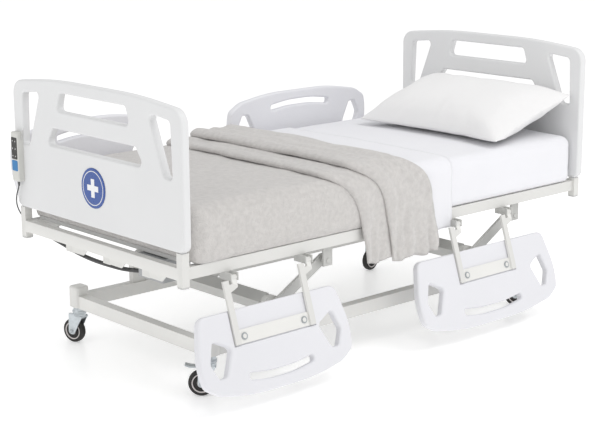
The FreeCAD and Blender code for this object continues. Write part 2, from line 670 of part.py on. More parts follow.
def bent_route(points):
    """Straight runs joined by tangent arcs, each arc as large as its two runs allow."""
    spots = [Vector(*point) for point in points]
    edges = []
    start = spots[0]
    for before, corner, after in zip(spots, spots[1:], spots[2:]):
        back = before - corner
        ahead = after - corner
        reach = 0.45 * min(back.Length, ahead.Length)
        back.normalize()
        ahead.normalize()
        half_turn = (math.pi - back.getAngle(ahead)) / 2
        radius = reach / math.tan(half_turn)
        bisector = back + ahead
        bisector.normalize()
        middle = corner + bisector * (radius / math.cos(half_turn) - radius)
        edges.append(Part.LineSegment(start, corner + back * reach).toShape())
        edges.append(Part.Arc(corner + back * reach, middle, corner + ahead * reach).toShape())
        start = corner + ahead * reach
    edges.append(Part.LineSegment(start, spots[-1]).toShape())
    return Part.Wire(edges)


def swept(label, points, radius):
    wire = bent_route(points)
    start = wire.Edges[0]
    heading = start.tangentAt(start.FirstParameter)
    ring = Part.Wire([Part.makeCircle(radius, start.Vertexes[0].Point, heading)])
    tube = wire.makePipeShell([ring], True, False)
    error = tube.Volume / (wire.Length * math.pi * radius ** 2) - 1
    print(f"{label}: length {wire.Length:.0f}, volume error {error:.4f}")
    made = doc.addObject("Part::Feature", "Cord")
    made.Shape = tube
    return keep(made, label)


PENDANT_END = (-1063, 474, S["pendant_top"] - S["pendant_long"])
LEAD_ROUTE = [PENDANT_END, (-1063, 474, 634), (-1068, 484, 608), (-1066, 494, 580), (-1058, 503, 555),
              (-1046, 508, 530), (-1030, 506, 503), (-1012, 500, 478), (-1003, 484, 459), (-1000, 458, 449),
              (-999, 428, 447), (-998, 398, 449), (-998, 370, 448)]
COIL_ROUTE = [(-998, 366, 447), (-998, 300, 438), (-998, 200, 420), (-997, 100, 412), (-996, 0, 412),
              (-994, -100, 415), (-990, -196, 429)]
swept("cord_lead", LEAD_ROUTE, S["cord_radius"])
swept("cord_coil", COIL_ROUTE, S["coil_radius"])


# ---- check, move to the bed's own frame and write ------------------------------------------------------

doc.recompute()
for obj in doc.Objects:
    if "Invalid" in obj.State or "Error" in obj.State:
        raise SystemExit(f"{obj.Label} failed: {obj.State}")
os.makedirs("parts", exist_ok=True)
box = FreeCAD.BoundBox()
for obj in kept:
    if obj.Shape.isNull() or not obj.Shape.isValid() or not obj.Shape.Solids:
        raise SystemExit(f"{obj.Label} has no valid solid")
    moved = obj.Shape.copy()
    moved.translate(Vector(S["end_shift"], S["side_shift"], 0))
    moved.exportStep(f"parts/{obj.Label}.step")
    box.add(moved.BoundBox)
print(f"{len(kept)} sub-parts, box {box}")
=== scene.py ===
import json
import math

import bmesh
import bpy
from mathutils import Matrix, Vector, noise


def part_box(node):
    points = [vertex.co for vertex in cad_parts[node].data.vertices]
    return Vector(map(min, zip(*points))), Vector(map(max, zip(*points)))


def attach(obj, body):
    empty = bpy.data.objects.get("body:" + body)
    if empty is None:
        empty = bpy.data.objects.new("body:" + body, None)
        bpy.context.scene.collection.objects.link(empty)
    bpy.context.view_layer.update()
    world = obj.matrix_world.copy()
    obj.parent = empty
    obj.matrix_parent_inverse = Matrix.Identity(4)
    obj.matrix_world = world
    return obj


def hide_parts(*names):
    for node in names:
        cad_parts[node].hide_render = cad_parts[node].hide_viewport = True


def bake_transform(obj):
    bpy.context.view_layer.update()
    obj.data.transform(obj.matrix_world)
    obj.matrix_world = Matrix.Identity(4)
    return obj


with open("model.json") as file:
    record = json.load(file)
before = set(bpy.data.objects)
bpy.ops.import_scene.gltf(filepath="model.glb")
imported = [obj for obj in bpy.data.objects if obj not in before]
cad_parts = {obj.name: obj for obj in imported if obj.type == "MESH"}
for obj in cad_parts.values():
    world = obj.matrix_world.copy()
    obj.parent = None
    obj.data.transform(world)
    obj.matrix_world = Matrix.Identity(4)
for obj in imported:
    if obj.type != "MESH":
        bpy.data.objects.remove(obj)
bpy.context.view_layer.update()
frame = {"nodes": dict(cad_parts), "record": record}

# An adjustable hospital bed. The frame's nodes stand where the CAD puts them; this script gives them their
# materials and builds the bedding, the castor wheels, the badge, the cord and the small fittings round them.


# ---- places, all worked out from the frame --------------------------------------------------------------

def low(node):
    return Vector(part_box(node)[0])


def high(node):
    return Vector(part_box(node)[1])


MID_X = (low("footboard").x + high("headboard").x) / 2
MID_Y = (low("footboard").y + high("footboard").y) / 2


def at(x, y, z):
    """A point given from the bed's own middle plane, foot to head, in the row frame."""
    return Vector((x + MID_X, y + MID_Y, z))


TOP = high("mattress_seat").z
UNDER = low("mattress_seat").z
HALF = high("mattress_seat").y - MID_Y
FOOT_END = low("mattress_calf").x - MID_X
HEAD_END = high("mattress_back").x - MID_X
# Spans along the bed, start and end, for where the soft pieces would turn from one body to the next; the
# pieces are not bound to the bodies here.
THIGH_FOLD = (-0.05, -0.18)
BACK_FOLD = (0.14, 0.42)
KNEE_FOLD = (-0.30, -0.55)


# ---- camera, light and floor ----------------------------------------------------------------------------

YAW, PITCH, ROLL = 0.7319, -0.2305, -0.0052
FOCAL_PIXELS, PICTURE_WIDTH, SENSOR = 1468, 599, 36
CAMERA_AT = Vector((-3.8485, -4.1602, 1.7736))


def make_camera():
    ahead = Vector((math.cos(PITCH) * math.sin(YAW), math.cos(PITCH) * math.cos(YAW), math.sin(PITCH)))
    right = Vector((math.cos(YAW), -math.sin(YAW), 0))
    up = right.cross(ahead)
    side = math.cos(ROLL) * right + math.sin(ROLL) * up
    top = -math.sin(ROLL) * right + math.cos(ROLL) * up
    pose = Matrix((side, top, -ahead)).transposed().to_4x4()
    pose.translation = CAMERA_AT
    camera = bpy.data.objects.new("camera", bpy.data.cameras.new("camera"))
    camera.matrix_world = pose
    camera.data.sensor_width = SENSOR
    camera.data.lens = FOCAL_PIXELS * SENSOR / PICTURE_WIDTH
    camera.data.clip_end = 100
    bpy.context.scene.collection.objects.link(camera)
    bpy.context.scene.camera = camera


def area_light(name, place, aim, size, energy):
    lamp = bpy.data.objects.new(name, bpy.data.lights.new(name, "AREA"))
    lamp.data.energy = energy
    lamp.data.size = size
    lamp.location = place
    lamp.rotation_euler = (Vector(aim) - lamp.location).to_track_quat("-Z", "Y").to_euler()
    bpy.context.scene.collection.objects.link(lamp)


SKY_LIGHT, SKY_SEEN = 0.74, 1.15
FLOOR_GLOW = 0.36


def make_studio():
    world = bpy.data.worlds.new("studio")
    world.use_nodes = True
    nodes, links = world.node_tree.nodes, world.node_tree.links
    sky = nodes["Background"]
    sky.inputs["Color"].default_value = (1.0, 1.0, 1.0, 1)
    seen = nodes.new("ShaderNodeMix")
    seen.inputs["A"].default_value = SKY_LIGHT
    seen.inputs["B"].default_value = SKY_SEEN
    links.new(nodes.new("ShaderNodeLightPath").outputs["Is Camera Ray"], seen.inputs["Factor"])
    links.new(seen.outputs["Result"], sky.inputs["Strength"])
    bpy.context.scene.world = world
    area_light("key", (0.6, -3.0, 4.8), (0, 0, 0.5), 3.0, 92)
    area_light("fill", (-4.5, 0.5, 2.8), (0, 0, 0.6), 3.0, 22)
    bpy.context.scene.view_settings.view_transform = "Standard"
    reach = 30
    corners = [(-reach, -reach, 0), (reach, -reach, 0), (reach, reach, 0), (-reach, reach, 0)]
    mesh = bpy.data.meshes.new("floor")
    mesh.from_pydata(corners, [], [(0, 1, 2, 3)])
    floor = bpy.data.objects.new("floor", mesh)
    bpy.context.scene.collection.objects.link(floor)
    mesh.materials.append(material("floor_white", (0.93, 0.93, 0.93), 0.32, vary=0.006, vary_scale=0.7,
                                   grain=(60, 0.02, 0.001), Emission_Color=(1, 1, 1, 1),
                                   Emission_Strength=FLOOR_GLOW))


# ---- materials ------------------------------------------------------------------------------------------

def material(name, colour, rough, vary=0.03, vary_scale=4.0, grain=None, weave=None, wear=0.0, **sockets):
    """A procedural finish: slow colour and gloss variation, a fine grain or weave in the bump, worn edges."""
    made = bpy.data.materials.new(name)
    made.use_nodes = True
    nodes, links = made.node_tree.nodes, made.node_tree.links
    shader = nodes["Principled BSDF"]
    for socket, value in sockets.items():
        shader.inputs[socket.replace("_", " ")].default_value = value
    where = nodes.new("ShaderNodeTexCoord").outputs["Object"]

    def noise_at(scale, detail=3.0):
        node = nodes.new("ShaderNodeTexNoise")
        node.inputs["Scale"].default_value = scale
        node.inputs["Detail"].default_value = detail
        links.new(where, node.inputs["Vector"])
        return node.outputs["Fac"]

    def blend(factor, first, second):
        node = nodes.new("ShaderNodeMix")
        node.data_type = "RGBA"
        node.inputs["A"].default_value = (*first, 1)
        node.inputs["B"].default_value = (*second, 1)
        links.new(factor, node.inputs["Factor"])
        return node

    def ranged(source, start, end, to_start, to_end):
        node = nodes.new("ShaderNodeMapRange")
        ends = (start, end, to_start, to_end)
        for socket, value in zip(("From Min", "From Max", "To Min", "To Max"), ends):
            node.inputs[socket].default_value = value
        links.new(source, node.inputs["Value"])
        return node.outputs["Result"]

    slow = noise_at(vary_scale)
    darker = [c * (1 - vary) for c in colour]
    lighter = [min(1, c * (1 + vary)) for c in colour]
    paint = blend(ranged(slow, 0.3, 0.7, 0, 1), darker, lighter)
    shown = paint.outputs["Result"]
    if wear:
        edge = nodes.new("ShaderNodeNewGeometry").outputs["Pointiness"]
        worn = blend(ranged(edge, 0.52, 0.60, 0, 1), colour, [c * (1 - wear) for c in colour])
        links.new(shown, worn.inputs["A"])
        shown = worn.outputs["Result"]
    height = None
    if weave:
        count, depth = weave
        threads = []
        for direction in ("X", "Y", "Z"):
            wave = nodes.new("ShaderNodeTexWave")
            wave.bands_direction = direction
            wave.inputs["Scale"].default_value = count
            wave.inputs["Distortion"].default_value = 0.6
            wave.inputs["Detail"].default_value = 1.0
            links.new(where, wave.inputs["Vector"])
            threads.append(wave.outputs["Fac"])
        total = threads[0]
        for thread in threads[1:]:
            add = nodes.new("ShaderNodeMath")
            links.new(total, add.inputs[0])
            links.new(thread, add.inputs[1])
            total = add.outputs["Value"]
        height = (total, depth, 0.0004)
    elif grain:
        scale, strength, distance = grain
        height = (noise_at(scale, 4.0), strength, distance)
    if height:
        bump = nodes.new("ShaderNodeBump")
        bump.inputs["Strength"].default_value = height[1]
        bump.inputs["Distance"].default_value = height[2]
        links.new(height[0], bump.inputs["Height"])
        links.new(bump.outputs["Normal"], shader.inputs["Normal"])
    links.new(shown, shader.inputs["Base Color"])
    gloss = ranged(noise_at(vary_scale * 3), 0.3, 0.7, rough - 0.05, rough + 0.05)
    links.new(gloss, shader.inputs["Roughness"])
    return made


def make_finishes():
    grain = (900, 0.10, 0.0003)
    return {
        "powder_coat": material("powder_coat", (0.79, 0.785, 0.76), 0.42, 0.02, 5, (1400, 0.12, 0.0003),
                                wear=0.10),
        "board_plastic": material("board_plastic", (0.745, 0.748, 0.752), 0.48, 0.015, 3, grain, wear=-0.05),
        "rail_plastic": material("rail_plastic", (0.765, 0.765, 0.795), 0.46, 0.015, 3, grain, wear=-0.03),
        "badge": material("badge_blue", (0.0, 0.055, 0.30), 0.30, 0.05, 20, (500, 0.04, 0.0003),
                          Coat_Weight=0.4),
        "deck_paint": material("deck_paint", (0.60, 0.60, 0.59), 0.5, 0.03, 6, grain, wear=0.12),
        "zinc": material("zinc_plate", (0.58, 0.62, 0.645), 0.34, 0.10, 60, (700, 0.15, 0.0002), wear=0.25,
                         Metallic=0.85),
        "tyre": material("tyre_rubber", (0.016, 0.015, 0.014), 0.62, 0.25, 30, (800, 0.25, 0.0004),
                         wear=-1.2),
        "actuator_plastic": material("actuator_grey", (0.42, 0.43, 0.44), 0.5, 0.04, 8, grain, wear=0.1),
        "steel_rod": material("steel_rod", (0.72, 0.73, 0.74), 0.16, 0.04, 40, (900, 0.05, 0.0001),
                              Metallic=1.0),
        "pendant": material("pendant_grey", (0.66, 0.66, 0.63), 0.45, 0.03, 20, (1200, 0.15, 0.0002),
                            wear=0.1),
        "keypad": material("key_dark", (0.035, 0.034, 0.033), 0.5, 0.2, 60, (1200, 0.2, 0.0002), wear=-0.8),
        "cord": material("cord_dark", (0.10, 0.10, 0.10), 0.42, 0.2, 40, (600, 0.12, 0.0002)),
        "sheet": material("sheet_cotton", (0.83, 0.83, 0.86), 0.86, 0.012, 3, weave=(300, 0.25),
                          Sheen_Weight=0.25),
        "pillow": material("pillow_cotton", (0.84, 0.835, 0.835), 0.86, 0.012, 3, weave=(320, 0.22),
                           Sheen_Weight=0.25),
        "blanket": material("blanket_fleece", (0.60, 0.580, 0.562), 0.95, 0.07, 60, grain=(260, 1.0, 0.0034),
                            Sheen_Weight=0.45),
        "hub": material("hub_grey", (0.27, 0.25, 0.245), 0.5, 0.06, 40, (500, 0.12, 0.0003), wear=0.15),
        "hub_ring": material("hub_ring", (0.66, 0.62, 0.61), 0.45, 0.04, 40, (500, 0.1, 0.0003)),
        "white_print": material("white_print", (0.86, 0.86, 0.87), 0.4, 0.01, 10, (500, 0.04, 0.0002)),
        "pendant_blue": material("pendant_blue", (0.02, 0.19, 0.46), 0.4, 0.05, 40, (900, 0.1, 0.0002)),
        "cap_plastic": material("cap_plastic", (0.62, 0.62, 0.61), 0.5, 0.03, 20, grain, wear=0.08),
        # dark_gap is painted shade: a near-black finish standing in for the shade in a gap.
        "dark_gap": material("dark_gap", (0.10, 0.10, 0.10), 0.7, 0.1, 20, grain),
    }


def dress_frame(finishes):
    """Gives every CAD node its slot's finish; the arms and the torque tubes get a darker grey, painted shade
    for the shade they lie in under the bed.
    """
    slots = {row["node"]: row["material_slot"] for row in frame["record"]["subparts"]}
    # Painted shade: this darker copy of the frame grey stands in for the shade on the arms, torque tubes,
    # rail brackets and hangers under the bed.
    shade_grey = material("steel_grey", (0.60, 0.60, 0.58), 0.45, 0.03, 6, (1400, 0.12, 0.0003), wear=0.12)
    for name, node in frame["nodes"].items():
        finish = finishes[slots[name]]
        if name.startswith("lift_arm") or name in ("rail_brackets", "lift_hangers"):
            finish = shade_grey
        node.data.materials.clear()
        node.data.materials.append(finish)


# ---- mesh helpers ---------------------------------------------------------------------------------------

def piece(name, points, faces, finish, body=None, smooth=True):
    mesh = bpy.data.meshes.new(name)
    mesh.from_pydata([tuple(p) for p in points], [], faces)
    mesh.update()
    for face in mesh.polygons:
        face.use_smooth = smooth
    mesh.materials.append(finish)
    made = bpy.data.objects.new(name, mesh)
    bpy.context.scene.collection.objects.link(made)
    if body:
        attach(made, body)
    return made


def settle(obj):
    """Turns an object's modifiers into its mesh."""
    graph = bpy.context.evaluated_depsgraph_get()
    mesh = bpy.data.meshes.new_from_object(obj.evaluated_get(graph))
    obj.modifiers.clear()
    obj.data = mesh
    for face in mesh.polygons:
        face.use_smooth = True
    return obj


def grid_faces(rows, columns, closed=False):
    faces = []
    last = columns if closed else columns - 1
    for i in range(rows - 1):
        for j in range(last):
            k = (j + 1) % columns
            faces.append((i * columns + j, i * columns + k, (i + 1) * columns + k, (i + 1) * columns + j))
    return faces


def lathe(name, profile, centre, axis, finish, body, steps=40):
    """A turned piece with flat ends: profile is (distance along the axis, radius) from end to end."""
    axis = Vector(axis).normalized()
    side = axis.orthogonal().normalized()
    other = axis.cross(side)
    points = []
    for along, radius in profile:
        for j in range(steps):
            turn = 2 * math.pi * j / steps
            spoke = side * math.cos(turn) + other * math.sin(turn)
            points.append(Vector(centre) + axis * along + spoke * radius)
    faces = grid_faces(len(profile), steps, closed=True)
    faces.append(tuple(range(steps))[::-1])
    faces.append(tuple(range((len(profile) - 1) * steps, len(profile) * steps)))
    made = piece(name, points, faces, finish, body)
    made.data.polygons[-1].use_smooth = False
    made.data.polygons[-2].use_smooth = False
    return made


def rounded_plate(name, centre, across, up, size, depth, radius, finish, body):
    """A thin plate with round corners and a small bevel, its face towards across x up."""
    across, up = Vector(across).normalized(), Vector(up).normalized()
    out = across.cross(up)
    bevel = min(depth * 0.4, 0.0006)
    outline = []
    for step in range(32):
        corner = step // 8
        turn = math.radians(corner * 90 + (step % 8) * 90 / 7)
        sx, sy = ((1, 1), (-1, 1), (-1, -1), (1, -1))[corner]
        outline.append(((size[0] / 2 - radius) * sx + radius * math.cos(turn),
                        (size[1] / 2 - radius) * sy + radius * math.sin(turn)))
    rings = [(0, 0), (depth - bevel, 0), (depth, bevel)]
    points = []
    for lift, inset in rings:
        for u, v in outline:
            k = 1 - inset / max(abs(u), abs(v))
            points.append(Vector(centre) + across * u * k + up * v * k + out * lift)
    count = len(outline)
    faces = grid_faces(len(rings), count, closed=True)
    faces += [tuple(range(count))[::-1], tuple(range(2 * count, 3 * count))]
    return piece(name, points, faces, finish, body, smooth=False)


def smooth_line(points):
    """The points of one smooth curve that has the given points as its control points."""
    curve = bpy.data.curves.new("line", "CURVE")
    curve.dimensions = "3D"
    curve.resolution_u = 10
    spline = curve.splines.new("NURBS")
    spline.points.add(len(points) - 1)
    for spot, point in zip(spline.points, points):
        spot.co = (*point, 1)
    spline.order_u = 3
    spline.use_endpoint_u = True
    holder = bpy.data.objects.new("line", curve)
    mesh = bpy.data.meshes.new_from_object(holder)
    line = [vertex.co.copy() for vertex in mesh.vertices]
    bpy.data.objects.remove(holder)
    return line


def tube(name, line, radius, finish, sides=10):
    """A round tube along a line of points, with flat ends."""
    heading = (line[1] - line[0]).normalized()
    side = heading.orthogonal().normalized()
    points = []
    for i, point in enumerate(line):
        ahead = (line[min(i + 1, len(line) - 1)] - line[max(i - 1, 0)]).normalized()
        side = (side - ahead * side.dot(ahead)).normalized()
        other = ahead.cross(side)
        for j in range(sides):
            turn = 2 * math.pi * j / sides
            points.append(point + (side * math.cos(turn) + other * math.sin(turn)) * radius)
    faces = grid_faces(len(line), sides, closed=True)
    faces += [tuple(range(sides))[::-1], tuple(range((len(line) - 1) * sides, len(line) * sides))]
    return piece(name, points, faces, finish)


def line_length(line):
    return sum((b - a).length for a, b in zip(line, line[1:]))


def smoothstep(value, start, end):
    t = min(1, max(0, (value - start) / (end - start)))
    return t * t * (3 - 2 * t)


# ---- hand control and its cord --------------------------------------------------------------------------

CORD_DIAMETER = 0.005
CURL_WIRE = 0.0046
CURL_OUTSIDE = 0.016
CURL_PITCH = 0.0072
LEAD_ROUTE = [(-1.063, 0.474, 0.656), (-1.063, 0.474, 0.634), (-1.068, 0.484, 0.608), (-1.066, 0.494, 0.580),
              (-1.058, 0.503, 0.555), (-1.046, 0.508, 0.530), (-1.030, 0.506, 0.503), (-1.012, 0.500, 0.478),
              (-1.003, 0.484, 0.459), (-1.000, 0.458, 0.449), (-0.999, 0.428, 0.447), (-0.998, 0.398, 0.449),
              (-0.998, 0.370, 0.448)]
COIL_ROUTE = [(-0.998, 0.366, 0.447), (-0.998, 0.300, 0.438), (-0.998, 0.200, 0.420), (-0.997, 0.100, 0.412),
              (-0.996, 0.000, 0.412), (-0.994, -0.100, 0.415), (-0.990, -0.196, 0.429)]


def curly_line(line):
    """A helix round a line, its ends drawn in to the line."""
    total = line_length(line)
    turns = round(total / CURL_PITCH)
    reach = (CURL_OUTSIDE - CURL_WIRE) / 2
    steps = turns * 12
    travelled = [0.0]
    for a, b in zip(line, line[1:]):
        travelled.append(travelled[-1] + (b - a).length)
    side = (line[1] - line[0]).orthogonal().normalized()
    points = []
    segment = 0
    for step in range(steps + 1):
        goal = total * step / steps
        while segment < len(line) - 2 and travelled[segment + 1] < goal:
            segment += 1
        part = (goal - travelled[segment]) / (travelled[segment + 1] - travelled[segment])
        centre = line[segment].lerp(line[segment + 1], part)
        ahead = (line[segment + 1] - line[segment]).normalized()
        side = (side - ahead * side.dot(ahead)).normalized()
        other = ahead.cross(side)
        turn = 2 * math.pi * step / 12
        taper = smoothstep(step, 0, 18) * smoothstep(steps - step, 0, 18)
        points.append(centre + (side * math.cos(turn) + other * math.sin(turn)) * reach * taper)
    return points


def make_cord(finishes):
    lead_line = smooth_line([at(*p) for p in LEAD_ROUTE])
    lead = tube("cord_straight", lead_line, CORD_DIAMETER / 2, finishes["cord"])
    coil_line = curly_line(smooth_line([at(*p) for p in COIL_ROUTE]))
    coil = tube("cord_curly", coil_line, CURL_WIRE / 2, finishes["cord"], sides=8)
    board_low = low("footboard").z
    at(-1.0, 0.47, low("frame_rail_near").z)
    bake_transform(lead)
    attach(coil, "upper_frame")
    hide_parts("cord_lead")
    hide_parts("cord_coil")
    relief_top = at(*LEAD_ROUTE[0]) + Vector((0, 0, 0.002))
    relief = lathe("cord_relief", [(0.0, 0.0052), (0.004, 0.0054), (0.010, 0.0046), (0.020, 0.0036)],
                   relief_top, (0, 0, -1), finishes["cord"], "footboard")
    at(*LEAD_ROUTE[0])
    round(line_length(lead_line), 3)
    [tuple(p) for p in lead_line]
    tuple(coil_line[0])
    round(line_length(coil_line), 3)
    [tuple(p) for p in coil_line]


def make_pendant(finishes):
    shell_low, shell_high = low("pendant_shell"), high("pendant_shell")
    face = shell_low.x
    middle = (shell_low.y + shell_high.y) / 2
    keys = ("back", "knee", "height")
    rows = [low(f"button_{name}_up").z / 2 + high(f"button_{name}_up").z / 2 for name in keys]
    panel_top, panel_low = rows[0] + 0.014, rows[-1] - 0.012
    across, up = (0, -1, 0), (0, 0, 1)
    rounded_plate("keypad_panel", (face, middle, (panel_top + panel_low) / 2), across, up,
                  (0.038, panel_top - panel_low), 0.0006, 0.004, finishes["keypad"], "footboard")
    rounded_plate("pendant_blue_panel", (face, middle, panel_low - 0.024), across, up, (0.038, 0.040), 0.0008,
                  0.005, finishes["pendant_blue"], "footboard")
    for name in keys:
        for way, sign in (("up", 1), ("down", -1)):
            node = f"button_{name}_{way}"
            spot = (low(node) + high(node)) / 2
            tip = low(node).x - 0.0003
            base = spot.z - 0.002 * sign
            mark = [(tip, spot.y - 0.0028, base), (tip, spot.y + 0.0028, base),
                    (tip, spot.y, spot.z + 0.003 * sign)]
            back = [(x + 0.0006, y, z) for x, y, z in mark]
            faces = [(0, 1, 2), (5, 4, 3), (0, 3, 4, 1), (1, 4, 5, 2), (2, 5, 3, 0)]
            piece(f"key_mark_{name}_{way}", mark + back, faces, finishes["white_print"], node,
                  smooth=False)
    hook_line = smooth_line([(shell_high.x - 0.006, shell_low.y + 0.001, shell_high.z - 0.030),
                             (shell_high.x - 0.008, shell_low.y - 0.006, shell_high.z - 0.012),
                             (shell_high.x - 0.006, shell_low.y - 0.007, shell_high.z + 0.004),
                             (shell_high.x - 0.003, shell_low.y - 0.006, shell_high.z + 0.008)])
    hook = tube("pendant_hook", hook_line, 0.0022, finishes["cap_plastic"])
    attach(hook, "footboard")


# ---- wheels, badge and small fittings -------------------------------------------------------------------

def make_wheels(finishes):
    for joint in frame["record"]["behaviour"]["joints"]:
        if not joint["name"].startswith("wheel_spin"):
            continue
        corner = joint["name"].replace("wheel_spin_", "")
        body, node = joint["child"], f"caster_wheel_{corner}"
        centre, axis = Vector(joint["pos_m"]), Vector(joint["axis"])
        radius = (high(node).z - low(node).z) / 2
        wide = 0.028 / 2
        bead = radius - 0.0135
        half_tyre = [(-wide + 0.003, bead - 0.001), (-wide + 0.001, bead + 0.001), (-wide, bead + 0.005),
                     (-wide + 0.001, radius - 0.005), (-wide + 0.004, radius - 0.0015),
                     (-0.006, radius - 0.0002)]
        other_half = [(-along, out) for along, out in reversed(half_tyre)]
        tyre = lathe(f"tyre_{corner}", half_tyre + [(0, radius)] + other_half, centre, axis, finishes["tyre"],
                     body, steps=64)
        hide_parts(node)
        for way in (-1, 1):
            sign = "a" if way < 0 else "b"
            lathe(f"wheel_ring_{corner}_{sign}", [
                (way * (wide - 0.006), bead + 0.0005), (way * (wide - 0.0005), bead + 0.0008),
                (way * (wide + 0.0004), bead - 0.001), (way * (wide - 0.001), bead - 0.0032),
                (way * (wide - 0.006), bead - 0.0036)][::way],
                centre, axis, finishes["hub_ring"], body, steps=64)
            lathe(f"wheel_hub_{corner}_{sign}", [
                (way * 0.001, bead - 0.002), (way * (wide - 0.0045), bead - 0.003),
                (way * (wide - 0.0055), bead - 0.010), (way * (wide - 0.004), 0.017),
                (way * (wide - 0.0008), 0.014), (way * (wide - 0.0004), 0.010),
                (way * (wide - 0.002), 0.0075)][::way],
                centre, axis, finishes["hub"], body, steps=64)
            lathe(f"axle_nut_{corner}_{sign}", [
                (way * 0.0205, 0.0085), (way * 0.0225, 0.0085), (way * 0.0226, 0.0068),
                (way * 0.0268, 0.0068), (way * 0.0275, 0.0058)][::way],
                centre, axis, finishes["zinc"], f"caster_{corner}", steps=6)
        swivel = Vector((0, 0, 1))
        top = Vector(next(j["pos_m"] for j in frame["record"]["behaviour"]["joints"]
                          if j["name"] == f"caster_swivel_{corner}"))
        top.z = low("base_end_foot").z
        lathe(f"swivel_cup_{corner}", [(-0.024, 0.0265), (-0.019, 0.028), (-0.012, 0.0275), (-0.0075, 0.021),
                                       (-0.0005, 0.0195)],
              top, swivel, finishes["zinc"], f"caster_{corner}", steps=48)


def make_badge(finishes):
    node_low, node_high = low("footboard_badge"), high("footboard_badge")
    centre = Vector((node_high.x, (node_low.y + node_high.y) / 2, (node_low.z + node_high.z) / 2))
    radius = (node_high.z - node_low.z) / 2
    thick = node_high.x - node_low.x
    disc = lathe("badge_disc", [(0, radius), (thick * 0.6, radius), (thick, radius - 0.0018)], centre,
                 (-1, 0, 0), finishes["badge"], "footboard", steps=72)
    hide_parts("footboard_badge")
    face = centre.x - thick
    lathe("badge_ring", [(thick - 0.0006, radius * 0.86), (thick + 0.0004, radius * 0.858),
                         (thick + 0.0004, radius * 0.82), (thick - 0.0006, radius * 0.818)],
          centre, (-1, 0, 0), finishes["white_print"], "footboard", steps=72)
    arm, reach = radius * 0.14, radius * 0.46
    outline = [(arm, reach), (-arm, reach), (-arm, arm), (-reach, arm), (-reach, -arm), (-arm, -arm),
               (-arm, -reach), (arm, -reach), (arm, -arm), (reach, -arm), (reach, arm), (arm, arm)]
    front = [(face - 0.0012, centre.y + u, centre.z + v) for u, v in outline]
    back = [(face + 0.0004, y, z) for _, y, z in front]
    count = len(outline)
    faces = [tuple(range(count))[::-1], tuple(range(count, 2 * count))]
    faces += [(i, (i + 1) % count, count + (i + 1) % count, count + i) for i in range(count)]
    piece("badge_cross", front + back, faces, finishes["white_print"], "footboard", smooth=False)


RAIL_SWING = math.radians(162)


def make_rail_bolts(finishes):
    """Two cap screws with washers on each rail's cross plate."""
    for joint in frame["record"]["behaviour"]["joints"]:
        if not joint["name"].startswith("side_rail_"):
            continue
        side, end = joint["name"].split("_")[2:]
        pivot = Vector(joint["pos_m"])
        reach = {"foot": 0.169, "head": 0.150}[end]
        lowered = side == "near"
        turn = Matrix.Rotation(RAIL_SWING, 3, "X") if lowered else Matrix.Identity(3)
        for way in (-1, 1):
            local = Vector((way * (reach - 0.034), -0.001, 0.202))
            centre = pivot + turn @ local
            out = turn @ Vector((0, -1, 0))
            lathe(f"rail_bolt_{side}_{end}_{'a' if way < 0 else 'b'}", [
                (-0.001, 0.0125), (0.0012, 0.0125), (0.0018, 0.0118), (0.0020, 0.0098), (0.0032, 0.0092),
                (0.0055, 0.0080), (0.0064, 0.0060), (0.0064, 0.0034), (0.0045, 0.0030)],
                centre, out, finishes["zinc"], joint["child"], steps=32)


def make_caps(finishes):
    """Plugs under the corner posts and dome caps on the ends of the torque tubes."""
    for end in ("foot", "head"):
        centre_x = (low(f"frame_end_{end}").x + high(f"frame_end_{end}").x) / 2
        if end == "foot":
            centre_x = low("footboard").x + 0.017
        for side in (-1, 1):
            rounded_plate(f"post_plug_{end}_{'near' if side < 0 else 'far'}",
                          (centre_x, MID_Y + side * 0.480, 0.440), (1, 0, 0), (0, -1, 0), (0.032, 0.032),
                          0.006, 0.006, finishes["cap_plastic"], "upper_frame")
    for end in ("foot", "head"):
        pivot = next(Vector(j["pos_m"]) for j in frame["record"]["behaviour"]["joints"]
                     if j["child"] == f"{end}_lift")
        for side in (-1, 1):
            centre = Vector((pivot.x, MID_Y + side * 0.4365, pivot.z))
            lathe(f"arm_cap_{end}_{'near' if side < 0 else 'far'}", [
                (-0.001, 0.021), (0.002, 0.021), (0.004, 0.019), (0.0055, 0.0125)],
                centre, (0, side, 0), finishes["cap_plastic"], f"{end}_lift", steps=40)


# ---- bedding --------------------------------------------------------------------------------------------

def rumple(x, y, scale, seed):
    return noise.noise(Vector((x * scale + seed, y * scale - seed, seed * 0.37)))


